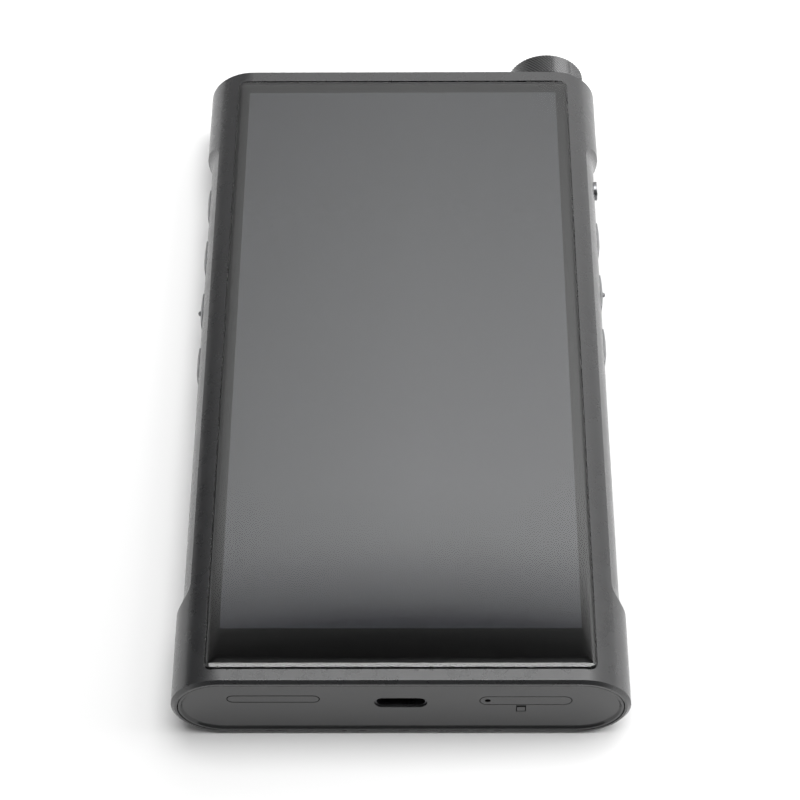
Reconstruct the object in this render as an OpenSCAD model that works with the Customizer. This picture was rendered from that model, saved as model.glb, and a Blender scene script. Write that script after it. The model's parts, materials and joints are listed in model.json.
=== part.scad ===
// Pocket digital audio player, lying on its back.
// X runs across the screen, Y towards the knob end, Z up through the glass.
// The origin is the middle of the flat back. All sizes are in millimetres.

/* [Body] */
// Width across the rounded sides
body_w = 79.6; // [72:0.2:88]
// Length of the metal body, without the knob
body_l = 143.6; // [129:0.2:158]
// Thickness of the metal body
body_h = 18.2; // [16.4:0.1:20]
// Wall of the tube
wall = 2.1; // [1.9:0.05:2.3]
// Chamfer of the lip round both ends, across the wall
lip_w = 0.65; // [0.4:0.05:0.9]
// Length of that chamfer along the body
lip_l = 0.55; // [0.2:0.01:0.8]

/* [Side grips] */
// Straight length of the flattened grip on each side
grip_l = 100.6; // [90:0.2:110]
// Place of the grips' middle along the body
grip_y = 0.25; // [-1:0.05:1]
// Depth of a grip at mid height
grip_depth = 1.04; // [0.7:0.02:1.2]
// Radius of the grip's convex face
grip_face_r = 13.2; // [12:0.1:16]
// Radius, in plan, of the ramp at each end of a grip
grip_ramp_r = 7.8; // [5:0.2:12]

/* [Screen] */
// Body's side to glass edge, on each side
glass_side_margin = 6.3; // [5.6:0.1:7]
// Body's end to glass edge, at the socket end
glass_margin = 2.85; // [2.5:0.05:3.2]
// Body's end to glass edge, at the knob end
glass_far_margin = 3.5; // [2.8:0.05:3.9]
// Thickness of the cover glass
glass_t = 1.1; // [0.9:0.05:1.3]
// Height of the glass above the body
glass_rise = 0.4; // [0.2:0.05:0.6]
// Corner radius of the glass
glass_corner_r = 1.2; // [0.8:0.1:3]
// Width of the rounded edge on top of the glass
glass_edge_w = 0.75; // [0.4:0.05:1]
// Drop of that edge
glass_edge_drop = 0.4; // [0.1:0.02:0.5]
// Gap round the glass
glass_gap = 0.16; // [0.06:0.02:0.2]
// Gap past the glass at the knob end
glass_far_gap = 0.5; // [0.1:0.05:0.6]
// Thickness of the adhesive gasket
gasket_t = 0.3; // [0.2:0.05:0.4]
// Width of the adhesive gasket
gasket_w = 0.9; // [0.6:0.05:1]
// Thickness of the display panel
panel_t = 1.5; // [1.2:0.1:1.7]
// Glass edge to panel edge, on each side
panel_side_margin = 1.35; // [1.2:0.05:1.6]
// Glass edge to panel edge, at the socket end
panel_offset = 3; // [2.6:0.1:3.4]
// Glass edge to panel edge, at the knob end
panel_far_margin = 1.65; // [1.55:0.05:2.4]

/* [End caps] */
// Thickness of an end cap
cap_t = 2; // [1.8:0.1:2.4]
// Metal ring left showing round a cap
cap_rim = 1.08; // [0.95:0.01:1.3]
// Gap round a cap
cap_gap = 0.1; // [0.05:0.01:0.15]
// How far a cap sits inside the lip
cap_sink = 0.05; // [0:0.05:0.3]
// Chamfer of a cap's outer edge
cap_edge = 0.1; // [0.05:0.01:0.2]
// Width of the raised edge round a cap's face
cap_ridge = 0.5; // [0.3:0.05:0.8]
// Depth of a cap's face below its raised edge
cap_dish = 0.35; // [0.2:0.05:0.5]

/* [Back cover] */
// Body's side to cover edge, on each side
cover_side_margin = 10.8; // [9.6:0.1:13]
// Body's end to cover edge, at both ends
cover_end_margin = 8.7; // [7:0.1:12]
// Thickness of the back cover
cover_t = 1.2; // [1:0.1:1.3]
// Corner radius of the back cover
cover_corner_r = 4; // [2:0.5:8]
// Width of the ledge that carries the cover
cover_ledge = 2; // [1:0.25:3]
// Gap round the cover
cover_gap = 0.1; // [0.05:0.01:0.2]

/* [Keys] */
// Length of a long key
key_l = 9.2; // [7:0.1:9.8]
// Height of a long key
key_h = 3.2; // [2.8:0.1:3.6]
// Distance from key to key
key_pitch = 13.4; // [12.6:0.1:14]
// How far a long key stands out of the grip
key_rise = 0.5; // [0.4:0.05:0.7]
// Place of the left middle pair along the body
left_keys_y = 21.85; // [18:0.05:23.6]
// Place of the right middle key along the body
right_keys_y = 19.65; // [17:0.05:21.4]
// Diameter of the power key
power_d = 3.8; // [3.4:0.1:5]
// Place of the power key along the body
power_y = 46.6; // [41:0.05:50]
// How far the power key stands out of the grip
power_rise = 0.7; // [0.5:0.05:1.1]
// Travel of every key
key_travel = 0.3; // [0.2:0.02:0.35]
// Gap between a key and its slot
key_gap = 0.13; // [0.06:0.01:0.16]
// Width of a key's inner flange
key_flange_w = 0.6; // [0.4:0.05:0.7]
// Thickness of a key's inner flange
key_flange_t = 0.6; // [0.4:0.05:0.8]
// Crown radius across a long key
key_crown_r = 2.75; // [2.25:0.25:8]
// Crown radius across the power key
power_crown_r = 6; // [4:0.5:12]
// Crown radius along every key
key_arch_r = 20; // [16:1:40]

/* [Knob] */
// Diameter of the volume knob
knob_d = 15.8; // [13:0.1:17]
// Body's side to the knob's axis
knob_inset = 9.95; // [9:0.05:11]
// Length of the knob
knob_t = 5.5; // [4.5:0.1:7]
// Gap between the knob and the body's end
knob_gap = 0.4; // [0.2:0.05:0.6]
// Chamfer round the knob's face
knob_chamfer = 0.5; // [0.2:0.05:0.8]
// Radius of the encoder shaft
shaft_r = 3; // [2.5:0.05:3.2]
// Running gap of the shaft in its bush
shaft_gap = 0.05; // [0.03:0.01:0.08]

/* [Sockets] */
// Bore of the small headphone socket
small_jack_d = 3.6; // [3.55:0.01:3.7]
// Place of the small headphone socket across the body
small_jack_x = -8; // [-10:0.5:-4]
// Bore of the balanced headphone socket
large_jack_d = 4.5; // [4.45:0.01:4.6]
// Body's side to the balanced headphone socket's axis
large_jack_inset = 15.8; // [14:0.1:18]
// Depth of a headphone socket's bore
jack_depth = 14; // [12:0.5:16]
// Wall of a headphone socket's nose
jack_wall = 1.4; // [1.2:0.1:1.6]
// Thickness of the trim ring round a socket
ring_t = 0.8; // [0.5:0.1:1]
// Width of the charging socket
usb_w = 9; // [8.8:0.05:9.2]
// Height of the charging socket
usb_h = 3.1; // [3.05:0.05:3.3]
// Height of the charging socket above mid height
usb_up = 1.35; // [1:0.05:1.6]
// Gap round the charging socket
usb_gap = 0.08; // [0.04:0.01:0.15]
// Width of the card tray's face
tray_w = 15.7; // [15:0.1:16.4]
// Height of the card tray's face
tray_h = 2.6; // [2.4:0.1:2.8]
// Body's side to the middle of the card tray
tray_inset = 18.25; // [16.5:0.05:20]
// Height of the card tray above mid height
tray_up = 2.1; // [1.9:0.05:2.3]
// Length of the card tray's frame
tray_l = 20; // [18:0.5:21]
// Gap round the card tray
tray_gap = 0.15; // [0.06:0.01:0.18]

/* [Inside] */
// Thickness of the stiffening plate behind the display
plate_t = 0.8; // [0.6:0.1:1]
// Gap left for assembly between inner pieces
fit_gap = 0.3; // [0.2:0.05:0.4]
// Thickness of the circuit boards
board_t = 0.8; // [0.6:0.1:1]
// Length of the main board
board_l = 46; // [44:0.5:47]
// Height of the spacers between the main board and the plate
spacer_h = 0.5; // [0.4:0.1:0.8]
// Thickness of the battery
battery_t = 11; // [9:0.1:11.5]
// Thickness of the battery's adhesive pad
pad_t = 0.2; // [0.1:0.05:0.4]
// Clear space between the main board and the battery
battery_space = 4; // [3:0.25:5]
// Clear space between the socket board and the battery
battery_io_space = 2.5; // [2:0.25:4]
// Clear space between the key brackets and the boards or battery
bay_gap = 0.9; // [0.8:0.05:2]
// Radius of the small screws
screw_r = 0.7; // [0.6:0.05:0.8]
// Radius of a screw's head
screw_head_r = 1.3; // [1.1:0.05:1.5]
// Height of a screw's head
screw_head_h = 0.5; // [0.4:0.05:0.6]

/* [Hidden] */
$fn = 48;
past = 1;
touch_gap = 0.02;

// Main cross-section: a stadium of radius body_r about two axes at plus and minus hx
body_r = body_h / 2;
zc = body_r;
hx = body_w / 2 - body_r;
cavity_r = body_r - wall;
pocket_r = body_r - cap_rim;
y_bot = -body_l / 2;
y_top = body_l / 2;
cap_depth = cap_sink + cap_t;
y_seat_bot = y_bot + cap_depth;
y_seat_top = y_top - cap_depth;
cap_face_bot = y_bot + cap_sink + cap_dish;
cap_face_top = y_top - cap_sink - cap_dish;
cap_r = pocket_r - cap_gap;

// Stack from the glass down to the main board
glass_top = body_h + glass_rise;
glass_z = glass_top - glass_t;
seat_z = glass_z - gasket_t;
bond_gap = 0.05;
panel_z = glass_z - bond_gap - panel_t;
window_gap = 0.25;
plate_top = panel_z - fit_gap;
plate_z = plate_top - plate_t;
plate_y0 = y_seat_bot + fit_gap;
plate_y1 = y_seat_top - fit_gap;
board_top = plate_z - spacer_h;
board_z = board_top - board_t;

// Glass, panel and back cover in plan
glass_w = body_w - 2 * glass_side_margin;
glass_l = body_l - glass_margin - glass_far_margin;
panel_w = glass_w - 2 * panel_side_margin;
panel_l = glass_l - panel_offset - panel_far_margin;
cover_w = body_w - 2 * cover_side_margin;
cover_l = body_l - 2 * cover_end_margin;
far_gap_extra = glass_far_gap - glass_gap;
glass_edge_r = (glass_edge_w * glass_edge_w + glass_edge_drop * glass_edge_drop) / (2 * glass_edge_drop);
glass_y0 = y_bot + glass_margin;
glass_yc = glass_y0 + glass_l / 2;
panel_y0 = glass_y0 + panel_offset;
panel_yc = panel_y0 + panel_l / 2;

// Charging socket, card tray and card socket on the socket board
usb_z = zc + usb_up;
tray_x = body_w / 2 - tray_inset;
tray_z = zc + tray_up;
tray_y0 = cap_face_bot;
face_t = 1;
tray_end_y = tray_y0 + face_t + tray_l;
frame_w = 12.4;
frame_t = 1.4;
socket_wall = 0.3;
socket_half = frame_w / 2 + tray_gap + socket_wall;
socket_top = tray_z + frame_t / 2 + tray_gap + socket_wall;
socket_y1 = tray_end_y + fit_gap + socket_wall;
io_y0 = y_seat_bot + fit_gap;
io_y1 = socket_y1;
io_top = usb_z - usb_h / 2;
io_z = io_top - board_t;
io_edge = 0.7;
io_x0 = -(hx - io_edge);
socket_edge = 2.75;
io_x1 = tray_x + socket_half + socket_edge;

// Main board at the knob end, and the battery in the room left between the boards
tab_l = 4.5;
tab_w = 5;
tab_t = 1.2;
board_y1 = y_seat_top - tab_l - 2 * fit_gap;
board_y0 = board_y1 - board_l;
battery_y1 = board_y0 - battery_space;
battery_y0 = io_y1 + battery_io_space;
battery_l = battery_y1 - battery_y0;
battery_top = plate_z - pad_t;
battery_z = battery_top - battery_t;

// Grips and keys
grip_x = body_w / 2 - grip_depth;
key_flange_x1 = hx + sqrt(cavity_r * cavity_r - pow(power_d / 2 + key_flange_w, 2)) - fit_gap / 2;
key_flange_x0 = key_flange_x1 - key_flange_t;
plunger_x = key_flange_x0 - key_travel - key_gap / 2;
switch_t = 1.6;
plunger_t = 0.5;
switch_x0 = plunger_x - plunger_t - switch_t;
bracket_t = 0.6;
bracket_tab = 3.6;
key_board_x0 = switch_x0 - board_t;
bracket_x0 = key_board_x0 - bracket_t;
plate_inset = 1.2;
plate_half = bracket_x0 - plate_inset;
bay_half = bracket_x0 - bracket_tab - bay_gap;
key_board_half = 2.4;
left_ys = [for (i = [0 : 3]) left_keys_y + key_pitch * (1.5 - i)];
right_ys = [for (i = [0 : 2]) right_keys_y + key_pitch * (1 - i)];
key_margin = 4.5;
left_span = [left_ys[3] - key_margin, left_ys[0] + key_margin];
right_span = [right_ys[2] - key_margin, power_y + key_margin];
dot_r = 0.5;
dot_rise = 0.5;

// Knob, encoder and headphone sockets
knob_x = body_w / 2 - knob_inset;
knob_y0 = y_top + knob_gap;
knob_y1 = knob_y0 + knob_t;
encoder_r = plate_z - screw_head_h - fit_gap - zc;
encoder_t = tab_l + fit_gap;
bush_wall = 0.7;
bush_r = shaft_r + bush_wall;
nut_wall = 1.5;
nut_r = bush_r + nut_wall;
nut_t = 1.3;
nut_room = 0.3;
knob_bore_y = cap_face_top + nut_t + nut_room;
knob_skin = 1.2;
jack_back_t = 2.5;
jack_body_l = jack_depth + jack_back_t;
jack_nose_y = cap_face_top - ring_t;
large_jack_x = large_jack_inset - body_w / 2;
jacks = [[small_jack_x, small_jack_d / 2], [large_jack_x, large_jack_d / 2]];

// Screw places
plate_screw_inset = 3.7;
plate_screw_x = hx - plate_screw_inset;
plate_screw_y = [y_seat_bot + tab_l / 2, y_seat_top - tab_l / 2];
roof_z = body_h - wall;
thread_depth = 0.7;
cap_tab_x = [-12, 10];
board_screw_side = 2.2;
board_screw_low = 2.5;
board_screw_high = 14;
board_screw_y = [board_y0 + board_screw_low, board_y1 - board_screw_high];
board_screw_xy = [for (x = [-1, 1], y = board_screw_y) [x * (bay_half - board_screw_side), y]];

// Display ribbon and pillars on the socket board
flex_w = 12;
flex_t = 0.2;
flex_side = 2;
flex_x = io_x0 + flex_side + flex_w / 2;
flex_edge = 4;
flex_y = io_y1 - flex_edge;
pillar_r = 1.7;
pillar_edge = 2.5;
pillar_space = 5;
pillar_left_x = flex_x + flex_w / 2 + pillar_space;
pillar_right_x = tray_x - socket_half - pillar_space;
pillar_gap = 1;
pillar_low_y = y_seat_bot + tab_l + pillar_gap + pillar_r;
pillar_high_y = io_y1 - pillar_edge;
io_pillar_xy = [
    [pillar_left_x, pillar_low_y],
    [pillar_left_x, pillar_high_y],
    [pillar_right_x, pillar_high_y]
];

// Rectangle with rounded corners, centred
module rounded_rect(w, l, r) {
    square([w - 2 * r, l], center = true);
    square([w, l - 2 * r], center = true);
    for (x = [-1, 1], y = [-1, 1])
        translate([x * (w / 2 - r), y * (l / 2 - r)])
            circle(r);
}

// The same rectangle with a gap all round
module widened_rect(w, l, r, gap) {
    rounded_rect(w + 2 * gap, l + 2 * gap, r + gap);
}

// Long outline with full round ends, centred, length along the first axis
module pill(l, h) {
    if (l > h)
        square([l - h, h], center = true);
    for (s = [-1, 1])
        translate([s * (l - h) / 2, 0])
            circle(h / 2);
}

// What a fillet of radius r takes off a corner; the arc's centre is the origin
module corner_cut(r) {
    difference() {
        square(r + past);
        circle(r);
    }
}

// Side of a bar's outline at radius r from y0 to y1; a chamfer is its width across and its length along
function bar_side(r, y0, y1, c0, c1) = concat(
    c0[0] > 0 ? [[r - c0[0], y0], [r, y0 + c0[1]]] : [[r, y0]],
    c1[0] > 0 ? [[r, y1 - c1[1]], [r - c1[0], y1]] : [[r, y1]]
);

// Bar along Y with the stadium section of radius r: two half turns and a slab between them
module stadium_bar(r, y0, y1, c0 = [0, 0], c1 = [0, 0]) {
    side = bar_side(r, y0, y1, c0, c1);
    far_side = [for (i = [len(side) - 1 : -1 : 0]) [-side[i][0], side[i][1]]];
    translate([0, 0, zc]) {
        for (s = [0, 1])
            mirror([s, 0, 0])
                translate([hx, 0, 0])
                    rotate([-90, 0, 0])
                        rotate([0, 0, -90])
                            rotate_extrude(angle = 180)
                                polygon(concat([[0, y0]], side, [[0, y1]]));
        translate([-hx, 0, 0])
            rotate([90, 0, 90])
                linear_extrude(2 * hx)
                    mirror([1, -1])
                        polygon(concat(side, far_side));
    }
}

// Runs a flat outline, drawn as Y across and Z up, along X from x0 to x1
module along_x(x0, x1) {
    translate([x0, 0, 0])
        rotate([90, 0, 90])
            linear_extrude(x1 - x0)
                children();
}

// Runs a flat outline, drawn as X across and Z up, along Y from y0 to y1
module along_y(y0, y1) {
    translate([0, y1, 0])
        rotate([90, 0, 0])
            linear_extrude(y1 - y0)
                children();
}

// Round bar along Y
module rod_y(r, y0, y1) {
    translate([0, y0, 0])
        rotate([-90, 0, 0])
            cylinder(h = y1 - y0, r = r);
}

// Box between two corners
module box(low, high) {
    translate(low)
        cube(high - low);
}

// Cutter for the grip on the right: a convex face run straight, then curving out at both ends
module grip_cutter() {
    translate([grip_x, grip_y, zc]) {
        along_y(-grip_l / 2, grip_l / 2)
            difference() {
                translate([-grip_face_r, -body_r])
                    square([grip_face_r + grip_ramp_r, body_h]);
                translate([-grip_face_r, 0])
                    circle(grip_face_r, $fn = 96);
            }
        for (s = [0, 1])
            mirror([0, s, 0])
                translate([grip_ramp_r, grip_l / 2, 0])
                    rotate([0, 0, 90])
                        rotate_extrude(angle = 90, $fn = 96)
                            difference() {
                                translate([0, -body_r])
                                    square([grip_ramp_r + grip_face_r, body_h]);
                                translate([grip_ramp_r + grip_face_r, 0])
                                    circle(grip_face_r);
                            }
    }
}

// Slots for the keys on one side, cut outwards from the cavity
module key_slots(ys, side) {
    for (y = ys)
        mirror([side < 0 ? 1 : 0, 0, 0])
            along_x(hx, body_w / 2 + past)
                translate([y, zc])
                    pill(key_l + 2 * key_gap, key_h + 2 * key_gap);
}

module housing() {
    color("#2b2c2f")
        difference() {
            stadium_bar(body_r, y_bot, y_top, [lip_w, lip_l], [lip_w, lip_l]);
            stadium_bar(cavity_r, y_bot - past, y_top + past);
            stadium_bar(pocket_r, y_bot - past, y_seat_bot);
            stadium_bar(pocket_r, y_seat_top, y_top + past);
            for (s = [0, 1])
                mirror([s, 0, 0])
                    grip_cutter();
            translate([0, glass_yc + far_gap_extra / 2, seat_z])
                linear_extrude(glass_top)
                    widened_rect(glass_w, glass_l + far_gap_extra, glass_corner_r, glass_gap);
            translate([0, panel_yc, zc])
                linear_extrude(body_h)
                    square([panel_w + 2 * window_gap, panel_l + 2 * window_gap], center = true);
            translate([0, 0, -past])
                linear_extrude(cover_t + past)
                    widened_rect(cover_w, cover_l, cover_corner_r, cover_gap);
            translate([0, 0, -past])
                linear_extrude(zc)
                    rounded_rect(cover_w - 2 * cover_ledge, cover_l - 2 * cover_ledge, cover_corner_r);
            key_slots(left_ys, -1);
            key_slots(right_ys, 1);
            translate([0, power_y, zc])
                rotate([0, 90, 0])
                    cylinder(h = body_w, r = power_d / 2 + key_gap);
            for (x = [-1, 1], y = plate_screw_y)
                translate([x * plate_screw_x, y, roof_z - past])
                    cylinder(h = thread_depth + past, r = screw_r + touch_gap);
        }
}

module back_cover() {
    color("#1c1d1f")
        linear_extrude(cover_t)
            rounded_rect(cover_w, cover_l, cover_corner_r);
}

// Lugs on a cap's inner face, drawn for the socket end, that screw to the plate
module cap_lugs() {
    for (x = cap_tab_x)
        difference() {
            box([x - tab_w / 2, y_seat_bot, plate_z - tab_t], [x + tab_w / 2, y_seat_bot + tab_l, plate_z]);
            translate([x, y_seat_bot + tab_l / 2, plate_z - tab_t - past])
                cylinder(h = tab_t + 2 * past, r = screw_r + touch_gap);
        }
}

// Cap drawn for the socket end: a plate with a raised edge round a dished face
module cap_plate() {
    difference() {
        stadium_bar(cap_r, y_bot + cap_sink, y_seat_bot, [cap_edge, cap_edge]);
        stadium_bar(cap_r - cap_ridge, y_bot - past, cap_face_bot, [0, 0], [cap_dish, cap_dish]);
    }
}

module bottom_cap() {
    color("#222325") {
        difference() {
            cap_plate();
            along_y(y_bot - past, y_seat_bot + past) {
                translate([0, usb_z])
                    pill(usb_w + 2 * usb_gap, usb_h + 2 * usb_gap);
                translate([tray_x, tray_z])
                    pill(tray_w + 2 * tray_gap, tray_h + 2 * tray_gap);
            }
        }
        cap_lugs();
    }
}

module top_cap() {
    color("#222325") {
        difference() {
            mirror([0, 1, 0])
                cap_plate();
            translate([knob_x, 0, zc])
                rod_y(bush_r + touch_gap, y_seat_top - past, y_top + past);
            for (j = jacks)
                translate([j[0], 0, zc]) {
                    rod_y(j[1] + jack_wall + touch_gap, y_seat_top - past, y_top + past);
                    rod_y(j[1] + jack_wall + ring_t, jack_nose_y, y_top + past);
                }
        }
        mirror([0, 1, 0])
            cap_lugs();
    }
}

// Outline of the glass from one side: bottom corners square, top corners rounded
module glass_side(w) {
    difference() {
        translate([-w / 2, 0])
            square([w, glass_t]);
        for (s = [-1, 1])
            translate([s * (w / 2 - glass_edge_w), glass_t - glass_edge_r])
                scale([s, 1])
                    corner_cut(glass_edge_r);
    }
}

module cover_glass() {
    color("#101113")
        translate([0, glass_yc, glass_z])
            intersection() {
                linear_extrude(glass_t)
                    rounded_rect(glass_w, glass_l, glass_corner_r);
                along_y(-glass_l / 2 - past, glass_l / 2 + past)
                    glass_side(glass_w);
                along_x(-glass_w / 2 - past, glass_w / 2 + past)
                    glass_side(glass_l);
            }
}

module glass_gasket() {
    color("#303030")
        translate([0, glass_yc, seat_z])
            linear_extrude(gasket_t)
                difference() {
                    rounded_rect(glass_w, glass_l, glass_corner_r);
                    square([glass_w - 2 * gasket_w, glass_l - 2 * gasket_w], center = true);
                }
}

module display_panel() {
    color("#17181b")
        translate([-panel_w / 2, panel_y0, panel_z])
            cube([panel_w, panel_l, panel_t]);
}

// Ribbon from the panel through the plate to its connector on the socket board
connector_h = 1;
connector_l = 2.4;

module display_flex() {
    color("#c58a2c") {
        translate([flex_x - flex_w / 2, flex_y, io_top + connector_h])
            cube([flex_w, flex_t, panel_z - io_top - connector_h]);
        translate([flex_x - flex_w / 2, flex_y - connector_l / 2, io_top])
            cube([flex_w, connector_l, connector_h]);
    }
}

module mid_plate() {
    color("#9a9da1")
        difference() {
            box([-plate_half, plate_y0, plate_z], [plate_half, plate_y1, plate_top]);
            translate([flex_x, flex_y, plate_z + plate_t / 2])
                cube([flex_w + 2 * fit_gap, flex_t + 4 * fit_gap, plate_t + 2 * past], center = true);
            for (x = [-1, 1], y = plate_screw_y)
                screw_hole(x * plate_screw_x, y);
            for (x = cap_tab_x) {
                screw_hole(x, y_seat_bot + tab_l / 2);
                screw_hole(x, y_seat_top - tab_l / 2);
            }
            for (p = board_screw_xy)
                screw_hole(p[0], p[1]);
            for (p = io_pillar_xy)
                screw_hole(p[0], p[1]);
        }
}

// Hole through the plate for one screw
module screw_hole(x, y) {
    translate([x, y, plate_z - past])
        cylinder(h = plate_t + 2 * past, r = screw_r + touch_gap);
}

// Screw driven upwards: the head is under z0, the shank ends at z1
module screw(x, y, z0, z1) {
    translate([x, y, z0 - screw_head_h])
        cylinder(h = screw_head_h, r = screw_head_r);
    translate([x, y, z0 - touch_gap])
        cylinder(h = z1 - z0 + touch_gap, r = screw_r);
}

module plate_screws() {
    color("#b9bcc0")
        for (x = [-1, 1], y = plate_screw_y)
            screw(x * plate_screw_x, y, plate_z, roof_z + thread_depth - fit_gap);
}

module cap_screws() {
    color("#b9bcc0")
        for (x = cap_tab_x, y = [y_seat_bot + tab_l / 2, y_seat_top - tab_l / 2])
            screw(x, y, plate_z - tab_t, plate_top);
}

module battery() {
    color("#8d9094")
        box([-bay_half, battery_y0, battery_z], [bay_half, battery_y1, battery_top]);
}

pad_inset = 3;

module battery_pad() {
    color("#d8d8d0")
        box([-bay_half + pad_inset, battery_y0 + pad_inset, battery_top],
            [bay_half - pad_inset, battery_y1 - pad_inset, plate_z]);
}

module battery_foam() {
    color("#3c3d40")
        for (s = [-1, 1])
            translate([s * bay_half / 2 - pad_inset, battery_y0 + pad_inset, cover_t])
                cube([2 * pad_inset, battery_l - 2 * pad_inset, battery_z - cover_t]);
}

module main_board() {
    color("#1d5a3a")
        difference() {
            box([-bay_half, board_y0, board_z], [bay_half, board_y1, board_top]);
            for (p = board_screw_xy)
                translate([p[0], p[1], board_z - past])
                    cylinder(h = board_t + 2 * past, r = screw_r + touch_gap);
        }
}

spacer_r = 1.6;

module board_spacers() {
    color("#c9b26a")
        for (p = board_screw_xy)
            translate([p[0], p[1], board_top])
                difference() {
                    cylinder(h = spacer_h, r = spacer_r);
                    translate([0, 0, -past])
                        cylinder(h = spacer_h + 2 * past, r = screw_r + touch_gap);
                }
}

module board_screws() {
    color("#b9bcc0")
        for (p = board_screw_xy)
            screw(p[0], p[1], board_z, plate_top);
}

// Shield can under the main board, an open box whose rim meets the board
shield_h = 2.2;
shield_wall = 0.25;
shield_w = 21;
shield_l = 20;
shield_edge = 5;
shield_x = 12;
shield_y0 = board_y0 + shield_edge;
shield_y1 = shield_y0 + shield_l;

module shield(x) {
    translate([x, 0, board_z])
        difference() {
            box([-shield_w / 2, shield_y0, -shield_h], [shield_w / 2, shield_y1, 0]);
            box([-shield_w / 2 + shield_wall, shield_y0 + shield_wall, -shield_h + shield_wall],
                [shield_w / 2 - shield_wall, shield_y1 - shield_wall, past]);
        }
}

module processor_shield() {
    color("#c4c6c8")
        shield(-shield_x);
}

module audio_shield() {
    color("#c4c6c8")
        shield(shield_x);
}

heat_pad_w = 14;

module heat_pad() {
    color("#9fb3c4")
        translate([-shield_x, 0, 0])
            box([-heat_pad_w / 2, shield_y0, board_top], [heat_pad_w / 2, shield_y1, plate_z]);
}

capacitor_r = 2;
capacitor_h = 5;
capacitor_pitch = 5;
capacitor_x = 4;
capacitor_edge = 4;
capacitor_y = board_y1 - capacitor_edge;
capacitor_z = board_z - capacitor_h;

module audio_capacitors() {
    color("#6a4f9a")
        for (i = [0 : 2], j = [0, 1])
            translate([capacitor_x + i * capacitor_pitch, capacitor_y - j * capacitor_pitch, capacitor_z])
                cylinder(h = capacitor_h, r = capacitor_r);
}

// Headphone socket: a block under the main board and a round nose that reaches its trim ring
module jack(x, r) {
    block = r + jack_wall;
    difference() {
        union() {
            box([x - block, jack_nose_y - jack_body_l, zc - block], [x + block, board_y1 + fit_gap, board_z]);
            translate([x, 0, zc])
                rod_y(block, board_y1 + fit_gap / 2, jack_nose_y);
        }
        translate([x, 0, zc])
            rod_y(r, jack_nose_y - jack_depth, jack_nose_y + past);
    }
}

module small_jack() {
    color("#2c2c2e")
        jack(small_jack_x, small_jack_d / 2);
}

module large_jack() {
    color("#2c2c2e")
        jack(large_jack_x, large_jack_d / 2);
}

module jack_rings() {
    color("#c8a24a")
        for (j = jacks)
            translate([j[0], 0, zc])
                difference() {
                    rod_y(j[1] + jack_wall + ring_t - touch_gap, jack_nose_y, cap_face_top);
                    rod_y(j[1] + touch_gap, jack_nose_y - past, y_top + past);
                }
}

module encoder_body() {
    color("#4c4f54")
        translate([knob_x, 0, zc])
            difference() {
                rod_y(encoder_r, y_seat_top - encoder_t, y_seat_top);
                rod_y(shaft_r + shaft_gap, y_seat_top - encoder_t + past, y_seat_top + past);
            }
}

module encoder_bush() {
    color("#b08d4a")
        translate([knob_x, 0, zc])
            difference() {
                rod_y(bush_r, y_seat_top, cap_face_top + nut_t);
                rod_y(shaft_r + shaft_gap, y_seat_top - past, y_top + knob_t);
            }
}

module encoder_nut() {
    color("#b9bcc0")
        translate([knob_x, cap_face_top, zc])
            rotate([-90, 0, 0])
                difference() {
                    cylinder(h = nut_t, r = nut_r, $fn = 6);
                    translate([0, 0, -past])
                        cylinder(h = nut_t + 2 * past, r = bush_r + touch_gap);
                }
}

module encoder_shaft() {
    color("#a6a9ad")
        translate([knob_x, 0, zc])
            rod_y(shaft_r, y_seat_top - encoder_t + past + fit_gap, knob_y1 - knob_skin);
}

// Knob: a cup that hides the nut, with a blind bore for the shaft and a shallow dished face
dish_depth = 0.3;
dish_r = 5.6;

module volume_knob() {
    color("#1a1b1d")
        translate([knob_x, 0, zc])
            rotate([-90, 0, 0])
                difference() {
                    rotate_extrude($fn = 96)
                        translate([0, knob_y0])
                            polygon([[0, 0], [knob_d / 2 - knob_chamfer, 0], [knob_d / 2, knob_chamfer],
                                [knob_d / 2, knob_t - knob_chamfer], [knob_d / 2 - knob_chamfer, knob_t],
                                [dish_r, knob_t], [dish_r - dish_depth, knob_t - dish_depth],
                                [0, knob_t - dish_depth]]);
                    translate([0, 0, knob_y0 - past])
                        cylinder(h = knob_bore_y - knob_y0 + past, r = nut_r + nut_room);
                    translate([0, 0, knob_y0 - past])
                        cylinder(h = knob_y1 - knob_skin - knob_y0 + past, r = shaft_r + touch_gap);
                }
}

module io_board() {
    color("#1d5a3a")
        difference() {
            box([io_x0, io_y0, io_z], [io_x1, io_y1, io_top]);
            for (p = io_pillar_xy)
                translate([p[0], p[1], io_z - past])
                    cylinder(h = board_t + 2 * past, r = screw_r + touch_gap);
        }
}

module io_pillars() {
    color("#c9b26a")
        for (p = io_pillar_xy)
            translate([p[0], p[1], io_top])
                difference() {
                    cylinder(h = plate_z - io_top, r = pillar_r);
                    translate([0, 0, -past])
                        cylinder(h = plate_z - io_top + 2 * past, r = screw_r + touch_gap);
                }
}

module io_screws() {
    color("#b9bcc0")
        for (p = io_pillar_xy)
            screw(p[0], p[1], io_z, plate_top);
}

usb_l = 9;
usb_wall = 0.28;
usb_recess = 0.3;
usb_y0 = cap_face_bot + usb_recess;

module usb_shell() {
    color("#8f9194")
        translate([0, 0, usb_z])
            difference() {
                along_y(usb_y0, usb_y0 + usb_l)
                    pill(usb_w, usb_h);
                along_y(usb_y0 - past, usb_y0 + usb_l - usb_wall)
                    pill(usb_w - 2 * usb_wall, usb_h - 2 * usb_wall);
            }
}

tongue_w = 6.7;
tongue_t = 0.7;
tongue_recess = 1.2;

module usb_tongue() {
    color("#1b1b1c")
        box([-tongue_w / 2, usb_y0 + tongue_recess, usb_z - tongue_t / 2],
            [tongue_w / 2, usb_y0 + usb_l - usb_wall, usb_z + tongue_t / 2]);
}

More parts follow.
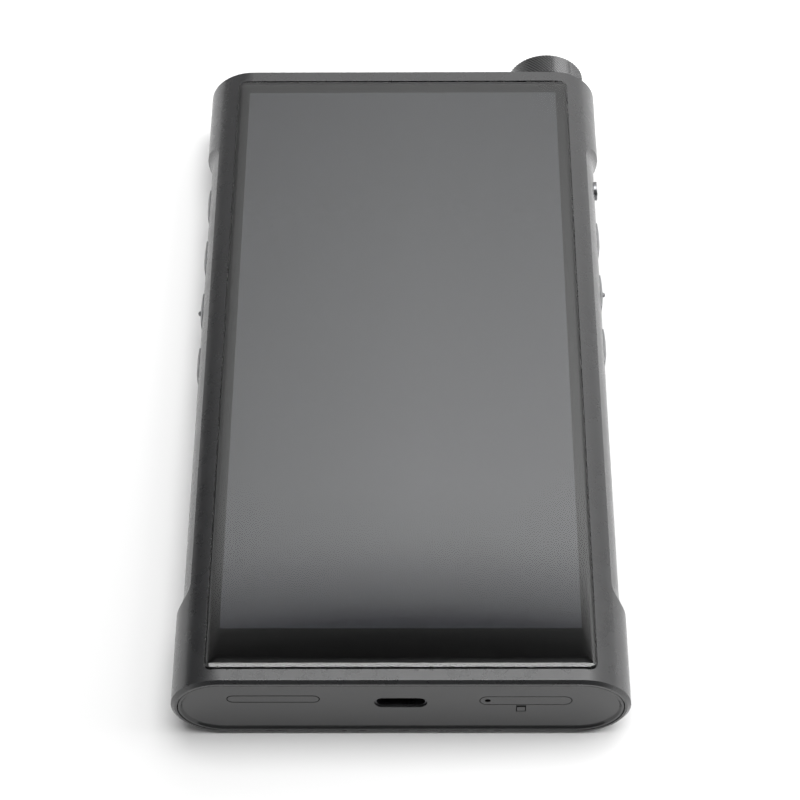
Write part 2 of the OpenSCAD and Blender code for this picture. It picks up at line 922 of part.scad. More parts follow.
// Card tray: a flush face with an eject hole and a frame with a pocket for one card
card_w = 11.2;
card_l = 15.2;
card_t = 0.8;
card_stop = 0.8;
card_y1 = tray_end_y - card_stop;
window_edge = 1.5;
window_back = 4;
eject_r = 0.5;
eject_x = tray_x - tray_w / 2 + tray_h / 2;

module card_tray() {
    color("#222325")
        difference() {
            union() {
                along_y(tray_y0, tray_y0 + face_t)
                    translate([tray_x, tray_z])
                        pill(tray_w, tray_h);
                box([tray_x - frame_w / 2, tray_y0 + face_t, tray_z - frame_t / 2],
                    [tray_x + frame_w / 2, tray_end_y, tray_z + frame_t / 2]);
            }
            box([tray_x - card_w / 2, card_y1 - card_l, tray_z + frame_t / 2 - card_t],
                [tray_x + card_w / 2, card_y1, tray_z + frame_t / 2 + past]);
            translate([tray_x, 0, tray_z])
                box([-card_w / 2 + window_edge, card_y1 - card_l + window_edge, -frame_t / 2 - past],
                    [card_w / 2 - window_edge, card_y1 - window_back, frame_t / 2]);
            translate([eject_x, 0, tray_z])
                rod_y(eject_r, tray_y0 - past, tray_y0 + face_t + past);
        }
}

// Card socket: a can on the socket board, open towards the cap
module card_socket() {
    color("#b4b7ba")
        difference() {
            box([tray_x - socket_half, io_y0, io_top], [tray_x + socket_half, socket_y1, socket_top]);
            box([tray_x - frame_w / 2 - tray_gap, io_y0 - past, tray_z - frame_t / 2 - tray_gap],
                [tray_x + frame_w / 2 + tray_gap, socket_y1 - socket_wall, tray_z + frame_t / 2 + tray_gap]);
        }
}

// Ribbon that stands beside the battery and joins the socket board to the main board
link_gap = 0.8;
link_x = bay_half + link_gap;
link_reach = 3;
link_tab = 4;
link_edge = 6;
link_y = board_y0 + link_edge;

module link_flex() {
    color("#c58a2c") {
        box([-link_x - flex_t, io_y1 - link_tab, io_top], [-link_x, link_y + link_tab, board_z]);
        box([-link_x, link_y, board_z - flex_t], [-bay_half + link_reach, link_y + link_tab, board_z]);
    }
}

antenna_w = 12;
antenna_l = 24;
antenna_t = 0.2;

module antenna() {
    color("#c58a2c")
        box([-antenna_w / 2, board_y0, cover_t], [antenna_w / 2, board_y0 + antenna_l, cover_t + antenna_t]);
}

// Board strip behind the keys of one side, on the right; the left one is mirrored
module key_board(span) {
    box([key_board_x0, span[0], zc - key_board_half], [switch_x0, span[1], zc + key_board_half]);
}

module left_key_board() {
    color("#1d5a3a")
        mirror([1, 0, 0])
            key_board(left_span);
}

module right_key_board() {
    color("#1d5a3a")
        key_board(right_span);
}

switch_l = 4;
switch_h = 3;
plunger_r = 0.8;

// Push switches behind the keys of one side
module switches(ys) {
    for (y = ys)
        translate([switch_x0, y, zc]) {
            box([0, -switch_l / 2, -switch_h / 2], [switch_t, switch_l / 2, switch_h / 2]);
            rotate([0, 90, 0])
                cylinder(h = plunger_x - switch_x0, r = plunger_r);
        }
}

module left_switches() {
    color("#d0d2d4")
        mirror([1, 0, 0])
            switches(left_ys);
}

module right_switches() {
    color("#d0d2d4")
        switches(concat(right_ys, [power_y]));
}

// Angle that hangs a key board from the plate
module key_bracket(span) {
    box([bracket_x0, span[0], zc - key_board_half], [key_board_x0, span[1], plate_z]);
    box([bracket_x0 - bracket_tab, span[0], plate_z - bracket_t], [key_board_x0, span[1], plate_z]);
}

module key_brackets() {
    color("#9a9da1") {
        key_bracket(right_span);
        mirror([1, 0, 0])
            key_bracket(left_span);
    }
}

// Key on the right: a crowned cap that comes through the wall from a flange inside it
module key(y, l, h, rise, crown_r, dotted = false) {
    tip = grip_x + rise;
    translate([0, y, zc]) {
        intersection() {
            along_x(key_flange_x0, tip + past)
                pill(l, h);
            translate([tip - crown_r, 0, 0])
                rod_y(crown_r, -l, l);
            translate([tip - key_arch_r, 0, -h])
                cylinder(h = 2 * h, r = key_arch_r, $fn = 96);
        }
        along_x(key_flange_x0, key_flange_x1)
            pill(l + 2 * key_flange_w, h + 2 * key_flange_w);
        if (dotted)
            translate([tip + dot_rise - dot_r, 0, 0])
                sphere(dot_r);
    }
}

module left_key(i, dotted = false) {
    color("#2b2c2f")
        mirror([1, 0, 0])
            key(left_ys[i], key_l, key_h, key_rise, key_crown_r, dotted);
}

module right_key(i, dotted = false) {
    color("#2b2c2f")
        key(right_ys[i], key_l, key_h, key_rise, key_crown_r, dotted);
}

module power_button() {
    color("#55585c")
        key(power_y, power_d, power_d, power_rise, power_crown_r);
}

housing();
back_cover();
bottom_cap();
top_cap();
cover_glass();
glass_gasket();
display_panel();
display_flex();
mid_plate();
plate_screws();
cap_screws();
battery();
battery_pad();
battery_foam();
main_board();
board_spacers();
board_screws();
processor_shield();
audio_shield();
heat_pad();
audio_capacitors();
small_jack();
large_jack();
jack_rings();
encoder_body();
encoder_bush();
encoder_nut();
io_board();
io_pillars();
io_screws();
usb_shell();
usb_tongue();
card_socket();
link_flex();
antenna();
left_key_board();
right_key_board();
left_switches();
right_switches();
key_brackets();
volume_knob();
encoder_shaft();
card_tray();
left_key(0);  // function_button
left_key(1);  // previous_button
left_key(2, true);  // play_button
left_key(3);  // next_button
power_button();
right_key(0);  // volume_up_button
right_key(1, true);  // select_button
right_key(2);  // volume_down_button
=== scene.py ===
"""Looks of the pocket audio player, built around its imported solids.

Lengths are metres, in the frame of the solids.
"""
import json
import math

import bmesh
import bpy
from mathutils import Matrix, Vector


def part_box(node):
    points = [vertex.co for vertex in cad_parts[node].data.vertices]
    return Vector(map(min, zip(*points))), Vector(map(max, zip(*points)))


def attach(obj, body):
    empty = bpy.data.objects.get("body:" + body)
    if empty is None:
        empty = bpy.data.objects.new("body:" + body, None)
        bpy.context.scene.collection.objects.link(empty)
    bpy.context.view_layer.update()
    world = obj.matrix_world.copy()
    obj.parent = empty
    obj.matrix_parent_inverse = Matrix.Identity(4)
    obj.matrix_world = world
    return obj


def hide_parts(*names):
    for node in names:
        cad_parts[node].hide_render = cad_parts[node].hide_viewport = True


MM = 0.001

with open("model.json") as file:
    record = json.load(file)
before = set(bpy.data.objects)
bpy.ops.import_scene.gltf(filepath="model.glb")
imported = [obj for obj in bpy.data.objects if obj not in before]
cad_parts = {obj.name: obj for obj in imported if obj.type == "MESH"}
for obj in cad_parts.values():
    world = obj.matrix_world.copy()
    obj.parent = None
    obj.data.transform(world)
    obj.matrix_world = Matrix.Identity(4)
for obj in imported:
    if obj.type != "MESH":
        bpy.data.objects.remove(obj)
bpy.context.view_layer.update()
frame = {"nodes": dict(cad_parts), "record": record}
nodes = frame["nodes"]
scene = bpy.context.scene
scene.view_settings.view_transform = "Standard"

# Camera, in the photo's square frame
IMAGE_SIDE_PX = 800
FOCAL_PX = 2322.5
SENSOR = 36.0
CLIP_START = 10 * MM
CAMERA_AT = Vector((2.97, -265.55, 364.5)) * MM
PITCH_DOWN = math.radians(53.83)
YAW = math.radians(-0.733)
ROLL = math.radians(-0.675)

# Finishes: sizes of patches and pits, and how far colour and gloss drift
NOISE_SPREAD = (0.3, 0.7)
BEVEL_SAMPLES = 6
ANODISED_PATCH = 9 * MM
ANODISED_TINTS = (0.88, 1.15)
ANODISED_GLOSS_PATCH = 3 * MM
ANODISED_GLOSS_DRIFT = 0.03
ANODISED_PITS = (0.45 * MM, 0.14 * MM)
PLAIN_PATCH = 4 * MM
PLAIN_TINTS = (0.92, 1.06)
PLAIN_GLOSS_PATCH = 2 * MM
PLAIN_GLOSS_DRIFT = 0.04
LAYER_PATCH = 1.2 * MM
LAYER_TINTS = (0.9, 1.1)
GLASS_IOR = 1.5
SMUDGE_PATCH = 20 * MM
SMUDGE_ROUGHNESS = 0.012

# Cover glass: tilt of its top by distance from the edge, in degrees
GLASS_CORNER_R = 1.2 * MM
GLASS_INNER_CORNER_R = 0.5 * MM
GLASS_TILTS = ((0, 75), (0.12 * MM, 20), (0.72 * MM, 2.3), (2.4 * MM, 0))
TILT_STEPS = 8
CORNER_STEPS = 10
# Glass faces are shaded smooth where their normal's height lies between these
SMOOTH_FROM = 0.1
SMOOTH_TO = 0.99999

# Display, placed from the near edge of the glass, and the layers printed in the back of the glass
ACTIVE_W = 62.5 * MM
ACTIVE_L = 126.6 * MM
ACTIVE_FROM_GLASS_EDGE = 8.0 * MM
PRINT_T = 0.006 * MM
PRINT_UP = 0.004 * MM
BORDER_INSET = 0.3 * MM

# Knob
KNURL_STARTS = 70
KNURL_DEPTH = 0.15 * MM
KNURL_CROSS_SHARE = 0.45
KNURL_SEGMENTS = 6
KNOB_CHAMFER = 0.5 * MM
KNOB_BACK_WALL = 1.2 * MM
KNOB_DISH_SHARE = 0.72
KNOB_DISH_DEPTH = 0.3 * MM

# Marks printed on the bottom cap
MARK_T = 0.012 * MM
MARK_LINE = 0.18 * MM
CAPSULE_AT = Vector((-21.95, 0, 11.8)) * MM
CAPSULE_L = 16.1 * MM
CAPSULE_H = 2.4 * MM
CAPSULE_STEPS = 24
CARD_SIGN_AT = Vector((20.8, 0, 8.45)) * MM
CARD_SIGN_W = 1.7 * MM
CARD_SIGN_H = 2.1 * MM
CARD_SIGN_LINE = 0.16 * MM
CARD_SIGN_BAR = 0.55 * MM

# Studio panels: light level by height above the horizon, in degrees
BACK_LEVELS = (
    (0, 1.4), (45, 1.82), (56, 3.32), (57.3, 3.09),
    (58.75, 1.37), (59.3, 0.33), (59.9, 0.07), (90, 0.07),
)
# Share of that level by turn from straight behind, in degrees, to the right counted up
SIDE_SHARES = (
    (-180, 0.06), (-150, 0.1), (-120, 0.4), (-95, 0.4), (-75, 0.04), (-55, 0.04),
    (-44, 0.46), (-30, 0.26), (-17, 0.3), (-8, 0.8), (0, 1.0), (13, 1.08), (30, 1.18),
    (46, 1.13), (60, 0.64), (68, 0.7), (77, 3.2), (94, 3.2), (102, 0.45), (140, 0.1), (180, 0.06),
)
# Overhead lamp: each soft edge from its start to its end, in degrees
LAMP_LEVEL = 10.6
LAMP_BACK_EDGE = (64.5, 67.5)
LAMP_FRONT_EDGE = (98, 116)
LAMP_LEFT_EDGE = (-20, -12)
LAMP_RIGHT_EDGE = (18, 30)

# Floor: its grey from left to right, and the share of it from front to back; both are painted light and
# shade, paler on the right and at the back where more light falls, darker on the left and in front
FLOOR_SIDE = 12000 * MM
FLOOR_DROP = 0.02 * MM
FLOOR_GREY_LEFT_PAINTED_SHADE = 0.55
FLOOR_GREY_RIGHT_PAINTED_LIGHT = 0.73
FLOOR_PAINTED_LIGHT_SPAN = 90 * MM
FLOOR_PAINTED_LIGHT_DEPTH_RANGE = (-120 * MM, 150 * MM)
FLOOR_PAINTED_LIGHT_DEPTH_SHARES = (0.9, 1.16)
FLOOR_ROUGHNESS = 0.8
FLOOR_SPECULAR = 0.2
FLOOR_GRAIN = 1.5 * MM
FLOOR_GRAIN_DEPTH = 0.01 * MM


def place_camera():
    """Camera fitted to the photo's edges."""
    forward = Vector((math.sin(YAW) * math.cos(PITCH_DOWN), math.cos(YAW) * math.cos(PITCH_DOWN),
                      -math.sin(PITCH_DOWN)))
    level = Vector((math.cos(YAW), -math.sin(YAW), 0))
    upright = level.cross(forward)
    right = math.cos(ROLL) * level + math.sin(ROLL) * upright
    up = math.cos(ROLL) * upright - math.sin(ROLL) * level
    data = bpy.data.cameras.new("camera")
    data.sensor_width = SENSOR
    data.lens = FOCAL_PX / IMAGE_SIDE_PX * SENSOR
    data.clip_start = CLIP_START
    camera = bpy.data.objects.new("camera", data)
    scene.collection.objects.link(camera)
    turn = Matrix((right, up, -forward)).transposed().to_4x4()
    camera.matrix_world = Matrix.Translation(CAMERA_AT) @ turn
    scene.camera = camera


def scaled(colour, share):
    """A colour made lighter or darker by a share."""
    return tuple(min(1, c * share) for c in colour)


class Material:
    """A Principled material with the few node patterns that the finishes share."""

    def __init__(self, name, colour, roughness, metallic=0.0, specular=0.5):
        self.data = bpy.data.materials.new(name)
        self.data.use_nodes = True
        self.nodes = self.data.node_tree.nodes
        self.links = self.data.node_tree.links
        self.shader = self.nodes["Principled BSDF"]
        self.shader.inputs["Base Color"].default_value = (*colour, 1)
        self.shader.inputs["Roughness"].default_value = roughness
        self.shader.inputs["Metallic"].default_value = metallic
        self.shader.inputs["Specular IOR Level"].default_value = specular
        self.place = self.nodes.new("ShaderNodeTexCoord").outputs["Object"]
        self.normal = None

    def noise(self, size, detail=2.0):
        """Noise whose features are about size across."""
        node = self.nodes.new("ShaderNodeTexNoise")
        node.inputs["Scale"].default_value = 1 / size
        node.inputs["Detail"].default_value = detail
        self.links.new(self.place, node.inputs["Vector"])
        return node.outputs["Fac"]

    def round_edges(self, radius):
        """Softens sharp edges in the shading, as a deburred edge does."""
        node = self.nodes.new("ShaderNodeBevel")
        node.samples = BEVEL_SAMPLES
        node.inputs["Radius"].default_value = radius
        self.normal = node.outputs["Normal"]
        self.links.new(self.normal, self.shader.inputs["Normal"])

    def bump(self, height, distance):
        """Adds a bump of that height field on top of the ones before it."""
        node = self.nodes.new("ShaderNodeBump")
        node.inputs["Strength"].default_value = 1.0
        node.inputs["Distance"].default_value = distance
        self.links.new(height, node.inputs["Height"])
        if self.normal:
            self.links.new(self.normal, node.inputs["Normal"])
        self.normal = node.outputs["Normal"]
        self.links.new(self.normal, self.shader.inputs["Normal"])

    def ranged(self, source, spread, levels):
        """A number that goes from one level to the other while the source goes through the spread."""
        node = self.nodes.new("ShaderNodeMapRange")
        node.inputs["From Min"].default_value = spread[0]
        node.inputs["From Max"].default_value = spread[1]
        node.inputs["To Min"].default_value = levels[0]
        node.inputs["To Max"].default_value = levels[1]
        self.links.new(source, node.inputs["Value"])
        return node.outputs["Result"]

    def vary_roughness(self, source, low, high):
        """Drives the roughness between low and high by a noise."""
        self.links.new(self.ranged(source, NOISE_SPREAD, (low, high)), self.shader.inputs["Roughness"])

    def tint(self, source, colour, shares):
        """Drives the base colour between two shares of a colour by a noise."""
        node = self.nodes.new("ShaderNodeValToRGB")
        for element, position, share in zip(node.color_ramp.elements, NOISE_SPREAD, shares):
            element.position = position
            element.color = (*scaled(colour, share), 1)
        self.links.new(source, node.inputs["Fac"])
        self.links.new(node.outputs["Color"], self.shader.inputs["Base Color"])


def anodised(name, colour, roughness, grain, metallic=0.0, edge=0.1 * MM, specular=0.5):
    """Anodised, bead-blasted metal: fine pits, with a faint drift in colour and gloss."""
    finish = Material(name, colour, roughness, metallic, specular)
    finish.tint(finish.noise(ANODISED_PATCH), colour, ANODISED_TINTS)
    finish.vary_roughness(finish.noise(ANODISED_GLOSS_PATCH, detail=4),
                          roughness - ANODISED_GLOSS_DRIFT, roughness + ANODISED_GLOSS_DRIFT)
    finish.round_edges(edge)
    for size in ANODISED_PITS:
        finish.bump(finish.noise(size), grain)
    return finish.data


def plain(name, colour, roughness, metallic=0.0, size=0.6 * MM, depth=0.004 * MM):
    """Moulded or plated surface with a faint texture."""
    finish = Material(name, colour, roughness, metallic)
    finish.tint(finish.noise(PLAIN_PATCH), colour, PLAIN_TINTS)
    finish.vary_roughness(finish.noise(PLAIN_GLOSS_PATCH, detail=3),
                          roughness - PLAIN_GLOSS_DRIFT, roughness + PLAIN_GLOSS_DRIFT)
    finish.bump(finish.noise(size, detail=3), depth)
    return finish.data


def clear_glass():
    """Polished cover glass with faint smudges."""
    finish = Material("screen_glass", (0.97, 0.98, 0.98), 0.0)
    finish.shader.inputs["Transmission Weight"].default_value = 1.0
    finish.shader.inputs["IOR"].default_value = GLASS_IOR
    finish.vary_roughness(finish.noise(SMUDGE_PATCH, detail=3), 0.0, SMUDGE_ROUGHNESS)
    return finish.data


def dark_layer(name, colour, specular=0.0, roughness=0.9):
    """Dark layer that scatters a little light: dull ink, or the smooth back of a bonded display."""
    finish = Material(name, colour, roughness, 0.0, specular)
    finish.tint(finish.noise(LAYER_PATCH, detail=3), colour, LAYER_TINTS)
    return finish.data


def build_materials():
    """One finish for each material slot of the record."""
    return {
        "body_metal": anodised("body_metal", (0.0108, 0.011, 0.0117), 0.28, 0.003 * MM, specular=0.84),
        "cap_metal": anodised("cap_metal", (0.0138, 0.014, 0.0146), 0.18, 0.003 * MM, specular=0.6),
        "key_metal": anodised("key_metal", (0.17, 0.172, 0.176), 0.34, 0.0005 * MM, 0.85, 0.3 * MM),
        "power_metal": anodised("power_metal", (0.154, 0.157, 0.163), 0.26, 0.002 * MM, 0.8),
        "knob_metal": anodised("knob_metal", (0.04, 0.0403, 0.0411), 0.22, 0.0005 * MM, 0.4, 0.02 * MM, 0.7),
        "screen_glass": clear_glass(),
        "back_panel": plain("back_panel", (0.03, 0.031, 0.033), 0.38, 0, 0.15 * MM, 0.003 * MM),
        "display_black": dark_layer("display_black", (0.0274, 0.0286, 0.0342), 0.46, 0.02),
        "gasket": plain("gasket", (0.05, 0.05, 0.05), 0.8),
        "plate_metal": plain("plate_metal", (0.6, 0.61, 0.63), 0.35, 1),
        "steel": plain("steel", (0.62, 0.63, 0.64), 0.28, 1),
        "brass": plain("brass", (0.78, 0.62, 0.3), 0.24, 1),
        "battery_foil": plain("battery_foil", (0.55, 0.56, 0.58), 0.3, 1),
        "circuit_board": plain("circuit_board", (0.06, 0.2, 0.12), 0.4),
        "amber_flex": plain("amber_flex", (0.65, 0.38, 0.1), 0.35),
        "pale_plastic": plain("pale_plastic", (0.75, 0.75, 0.72), 0.5),
        "violet_plastic": plain("violet_plastic", (0.3, 0.2, 0.45), 0.4),
        "dark_plastic": plain("dark_plastic", (0.06, 0.06, 0.065), 0.45),
    }


def dress_nodes(materials):
    """Gives every solid the finish of its slot, and the charging socket a darker one of its own; the shell's
    dark grey is partly painted shade from inside the slot.
    """
    # Painted shade: the shell's nickel is darkened for the shade inside the slot; the tongue's near black is
    # its own plastic.
    special = {"usb_shell": plain("port_nickel_painted_shade", (0.1, 0.1, 0.105), 0.3, 1),
               "usb_tongue": plain("port_plastic", (0.008, 0.008, 0.009), 0.4)}
    for part in frame["record"]["subparts"]:
        mesh = nodes[part["node"]].data
        mesh.materials.clear()
        mesh.materials.append(special.get(part["node"], materials[part["material_slot"]]))


def add_piece(name, bm, body, material):
    """Turns a bmesh into a piece that rides on a body and wears the given material."""
    bmesh.ops.recalc_face_normals(bm, faces=bm.faces)
    mesh = bpy.data.meshes.new(name)
    bm.to_mesh(mesh)
    bm.free()
    mesh.materials.append(material)
    piece = bpy.data.objects.new(name, mesh)
    scene.collection.objects.link(piece)
    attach(piece, body)
    return piece


def rectangle(w, l, at=(0, 0)):
    """Corners of a rectangle, anticlockwise."""
    return [(at[0] + sx * w / 2, at[1] + sy * l / 2) for sx, sy in ((-1, -1), (1, -1), (1, 1), (-1, 1))]


def rounded_rectangle(w, l, r, at=(0, 0)):
    """Points of a rectangle with round corners, anticlockwise."""
    points = []
    for quarter, (sx, sy) in enumerate(((1, 1), (-1, 1), (-1, -1), (1, -1))):
        for i in range(CORNER_STEPS + 1):
            turn = math.pi / 2 * (quarter + i / CORNER_STEPS)
            points.append((at[0] + sx * (w / 2 - r) + r * math.cos(turn),
                           at[1] + sy * (l / 2 - r) + r * math.sin(turn)))
    return points


def capsule(l, h):
    """Points of a pill outline, anticlockwise, length along the first axis."""
    points = []
    for side in (1, -1):
        for i in range(CAPSULE_STEPS + 1):
            turn = math.pi * (i / CAPSULE_STEPS - 0.5)
            points.append((side * ((l - h) / 2 + h / 2 * math.cos(turn)), side * h / 2 * math.sin(turn)))
    return points


def bridge(bm, rings):
    """Faces between rings of vertices that follow one another."""
    for a, b in zip(rings, rings[1:]):
        for i in range(len(a)):
            k = (i + 1) % len(a)
            bm.faces.new((a[i], a[k], b[k], b[i]))


def band(outer, inner, thickness, to_space):
    """Flat closed band between two outlines with the same number of points."""
    bm = bmesh.new()
    stations = ((outer, 0), (outer, thickness), (inner, thickness), (inner, 0))
    rings = [[bm.verts.new(to_space(u, v, h)) for u, v in outline] for outline, h in stations]
    bridge(bm, rings + rings[:1])
    return bm


def glass_profile():
    """Distances from the edge with how far the top has fallen there, from the edge inwards."""
    insets = []
    tilts = []
    for (a, tilt_a), (b, tilt_b) in zip(GLASS_TILTS, GLASS_TILTS[1:]):
        for i in range(TILT_STEPS):
            share = i / TILT_STEPS
            sine = (1 - share) * math.sin(math.radians(tilt_a)) + share * math.sin(math.radians(tilt_b))
            insets.append(a + (b - a) * share)
            tilts.append(math.asin(sine))
    profile = [(GLASS_TILTS[-1][0], 0.0)]
    for inset, tilt in zip(reversed(insets), reversed(tilts)):
        last, fall = profile[0]
        profile.insert(0, (inset, fall + math.tan(tilt) * (last - inset)))
    return profile


def make_glass(materials):
    """Cover glass whose top runs off in a faint slope and a rounded edge, over a flat underside."""
    low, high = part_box("cover_glass")
    middle = (low + high) / 2
    bm = bmesh.new()

    def ring(inset, z):
        corner = max(GLASS_CORNER_R - inset, GLASS_INNER_CORNER_R)
        width = high.x - low.x - 2 * inset
        length = high.y - low.y - 2 * inset
        outline = rounded_rectangle(width, length, corner, (middle.x, middle.y))
        return [bm.verts.new((x, y, z)) for x, y in outline]

    rings = [ring(0, low.z)] + [ring(inset, high.z - fall) for inset, fall in glass_profile()]
    bridge(bm, rings)
    bm.faces.new(rings[0])
    bm.faces.new(rings[-1])
    glass = add_piece("curved_glass", bm, "player", materials["screen_glass"])
    for face in glass.data.polygons:
        face.use_smooth = SMOOTH_FROM < abs(face.normal.z) < SMOOTH_TO
    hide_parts("cover_glass")


def make_screen_prints(materials):
    """Dark display face and black border, both in the back of the glass as bonded layers are."""
    low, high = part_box("cover_glass")
    middle = (low + high) / 2
    width = high.x - low.x - 2 * BORDER_INSET
    length = high.y - low.y - 2 * BORDER_INSET
    active_y = low.y + ACTIVE_FROM_GLASS_EDGE + ACTIVE_L / 2
    outer = rectangle(width, length, (middle.x, middle.y))
    inner = rectangle(ACTIVE_W, ACTIVE_L, (middle.x, active_y))
    base = low.z + PRINT_UP
    border = band(outer, inner, PRINT_T, lambda u, v, h: (u, v, base + h))
    ink = dark_layer("border_ink", (0.0046, 0.0046, 0.0046), 0.2, 0.02)
    add_piece("screen_border", border, "player", ink)
    face = bmesh.new()
    rings = [[face.verts.new((x, y, z)) for x, y in inner] for z in (base, base + PRINT_T)]
    bridge(face, rings)
    face.faces.new(rings[0])
    face.faces.new(rings[1])
    add_piece("display_face", face, "player", materials["display_black"])


def groove(phase):
    """Depth share of a row of V grooves, which are deepest at whole numbers."""
    return 2 * abs(phase - math.floor(phase) - 0.5)


def knurl_cut(i, j):
    """Depth share of two crossing sets of grooves at grid point i around and j along."""
    main = groove((i - j) / KNURL_SEGMENTS)
    cross = groove((i + j) / KNURL_SEGMENTS)
    return max(main, KNURL_CROSS_SHARE * cross)


def make_knob(materials):
    """Volume knob with a real diamond knurl on its rim, a chamfered, dished face and a closed back."""
    low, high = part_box("volume_knob")
    centre = (low + high) / 2
    radius = (high.x - low.x) / 2
    rim_l = high.y - low.y - 2 * KNOB_CHAMFER
    pitch = 2 * math.pi * radius / KNURL_STARTS
    around = KNURL_STARTS * KNURL_SEGMENTS
    along = max(1, round(rim_l / pitch)) * KNURL_SEGMENTS
    bm = bmesh.new()

    def ring(radii, y):
        points = []
        for i, r in enumerate(radii):
            turn = 2 * math.pi * i / around
            points.append(bm.verts.new((centre.x + r * math.cos(turn), y, centre.z + r * math.sin(turn))))
        return points

    def circle(r, y):
        return ring([r] * around, y)

    rim = radius - KNOB_CHAMFER
    dish = radius * KNOB_DISH_SHARE
    rings = [circle(rim - KNOB_BACK_WALL, low.y), circle(rim, low.y)]
    for j in range(along + 1):
        y = low.y + KNOB_CHAMFER + rim_l * j / along
        rings.append(ring([radius - KNURL_DEPTH * knurl_cut(i, j) for i in range(around)], y))
    rings.append(circle(rim, high.y))
    rings.append(circle(dish, high.y))
    rings.append(circle(dish - KNOB_DISH_DEPTH, high.y - KNOB_DISH_DEPTH))
    bridge(bm, rings)
    bm.faces.new(rings[-1])
    bm.faces.new(rings[0])
    knob = add_piece("knurled_knob", bm, "knob", materials["knob_metal"])
    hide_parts("volume_knob")


def make_cap_marks():
    """Bare capsule outline and a small card sign, printed on the bottom cap."""
    ink = dark_layer("mark_ink", (0.008, 0.008, 0.008))
    face_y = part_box("card_tray")[0].y

    def on_cap(at):
        return lambda u, v, h: (at.x + u, face_y - h, at.z + v)

    outer = capsule(CAPSULE_L, CAPSULE_H)
    inner = capsule(CAPSULE_L - 2 * MARK_LINE, CAPSULE_H - 2 * MARK_LINE)
    add_piece("capsule_mark", band(outer, inner, MARK_T, on_cap(CAPSULE_AT)), "player", ink)
    outer = rectangle(CARD_SIGN_W, CARD_SIGN_H)
    inner = rectangle(CARD_SIGN_W - 2 * CARD_SIGN_LINE, CARD_SIGN_H - CARD_SIGN_LINE - CARD_SIGN_BAR,
                      (0, (CARD_SIGN_LINE - CARD_SIGN_BAR) / 2))
    add_piece("card_mark", band(outer, inner, MARK_T, on_cap(CARD_SIGN_AT)), "player", ink)


class Studio:
    """World shader that adds soft panels of light by direction."""

    def __init__(self):
        world = bpy.data.worlds.new("studio")
        scene.world = world
        world.use_nodes = True
        self.tree = world.node_tree
        self.tree.nodes.clear()
        place = self.tree.nodes.new("ShaderNodeTexCoord").outputs["Generated"]
        split = self.tree.nodes.new("ShaderNodeSeparateXYZ")
        self.tree.links.new(place, split.inputs["Vector"])
        self.x, self.y, self.z = split.outputs

    def math(self, operation, first, second):
        """Result of one operation on two numbers, each a value or a node's output."""
        node = self.tree.nodes.new("ShaderNodeMath")
        node.operation = operation
        for socket, value in zip(node.inputs, (first, second)):
            if isinstance(value, (int, float)):
                socket.default_value = value
            else:
                self.tree.links.new(value, socket)
        return node.outputs["Value"]

    def levels(self, source, low, high, stops):
        """A curve through stops of position and level, for a source between low and high."""
        top = max(level for _, level in stops)
        ramp = self.tree.nodes.new("ShaderNodeValToRGB")
        while len(ramp.color_ramp.elements) < len(stops):
            ramp.color_ramp.elements.new(1.0)
        for element, (at, level) in zip(ramp.color_ramp.elements, stops):
            element.position = (at - low) / (high - low)
            element.color = (level / top, level / top, level / top, 1)
        share = self.math("DIVIDE", self.math("SUBTRACT", source, low), high - low)
        self.tree.links.new(share, ramp.inputs["Fac"])
        return self.math("MULTIPLY", ramp.outputs["Color"], top)

    def step(self, source, start, end):
        """Smooth rise from 0 at start to 1 at end."""
        node = self.tree.nodes.new("ShaderNodeMapRange")
        node.interpolation_type = "SMOOTHSTEP"
        node.inputs["From Min"].default_value = start
        node.inputs["From Max"].default_value = end
        self.tree.links.new(source, node.inputs["Value"])
        return node.outputs["Result"]

    def finish(self, level):
        """Sends that level of white light to the world's output."""
        background = self.tree.nodes.new("ShaderNodeBackground")
        self.tree.links.new(level, background.inputs["Strength"])
        output = self.tree.nodes.new("ShaderNodeOutputWorld")
        self.tree.links.new(background.outputs["Background"], output.inputs["Surface"])


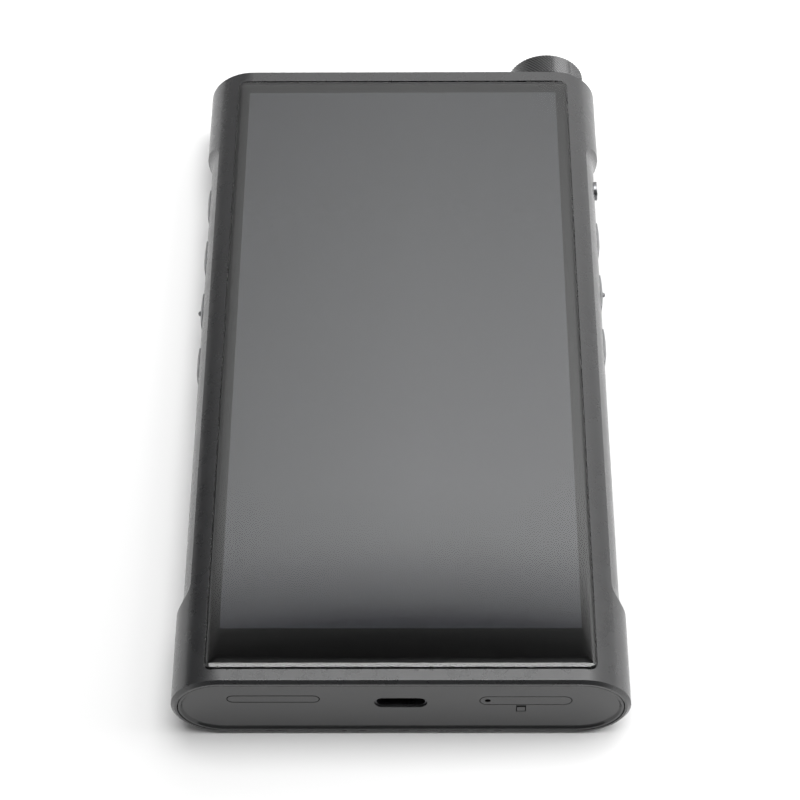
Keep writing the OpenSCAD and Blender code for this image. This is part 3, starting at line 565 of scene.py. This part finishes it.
def build_studio():
    """Tall panel behind, a brighter strip on the right, a dim one on the left and a lamp overhead."""
    studio = Studio()
    heights = [(math.sin(math.radians(angle)), level) for angle, level in BACK_LEVELS]
    turns = [(math.radians(angle), share) for angle, share in SIDE_SHARES]
    round_about = studio.math("ARCTAN2", studio.x, studio.y)
    panel = studio.math("MULTIPLY", studio.levels(studio.z, 0, 1, heights),
                        studio.levels(round_about, -math.pi, math.pi, turns))
    over = studio.math("ARCTAN2", studio.z, studio.y)
    across = studio.math("ARCTAN2", studio.x, studio.z)
    lamp = LAMP_LEVEL
    for source, edge in ((over, LAMP_BACK_EDGE), (over, LAMP_FRONT_EDGE[::-1]),
                         (across, LAMP_LEFT_EDGE), (across, LAMP_RIGHT_EDGE[::-1])):
        lamp = studio.math("MULTIPLY", studio.step(source, *[math.radians(angle) for angle in edge]), lamp)
    studio.finish(studio.math("ADD", panel, lamp))


def build_floor():
    """Wide pale floor just under the back, with painted light making it a little paler on the right and at
    the back.
    """
    bpy.ops.mesh.primitive_plane_add(size=FLOOR_SIDE, location=(0, 0, -FLOOR_DROP))
    floor = bpy.context.object
    floor.name = "floor"
    finish = Material("floor_paper_painted_light", (FLOOR_GREY_LEFT_PAINTED_SHADE, FLOOR_GREY_LEFT_PAINTED_SHADE, FLOOR_GREY_LEFT_PAINTED_SHADE), FLOOR_ROUGHNESS,
                      specular=FLOOR_SPECULAR)
    split = finish.nodes.new("ShaderNodeSeparateXYZ")
    finish.links.new(finish.place, split.inputs["Vector"])
    # Painted light and shade: the grey rises from left to right and its share from front to back, for
    # stronger light on the right and behind.
    across = finish.ranged(split.outputs["X"], (-FLOOR_PAINTED_LIGHT_SPAN, FLOOR_PAINTED_LIGHT_SPAN), (FLOOR_GREY_LEFT_PAINTED_SHADE, FLOOR_GREY_RIGHT_PAINTED_LIGHT))
    painted_light_ahead = finish.ranged(split.outputs["Y"], FLOOR_PAINTED_LIGHT_DEPTH_RANGE, FLOOR_PAINTED_LIGHT_DEPTH_SHARES)
    painted_light_grey = finish.nodes.new("ShaderNodeMath")
    painted_light_grey.operation = "MULTIPLY"
    finish.links.new(across, painted_light_grey.inputs[0])
    finish.links.new(painted_light_ahead, painted_light_grey.inputs[1])
    finish.links.new(painted_light_grey.outputs["Value"], finish.shader.inputs["Base Color"])
    finish.bump(finish.noise(FLOOR_GRAIN, detail=3), FLOOR_GRAIN_DEPTH)
    floor.data.materials.append(finish.data)


place_camera()
finishes = build_materials()
dress_nodes(finishes)
make_glass(finishes)
make_screen_prints(finishes)
make_knob(finishes)
make_cap_marks()
build_studio()
build_floor()
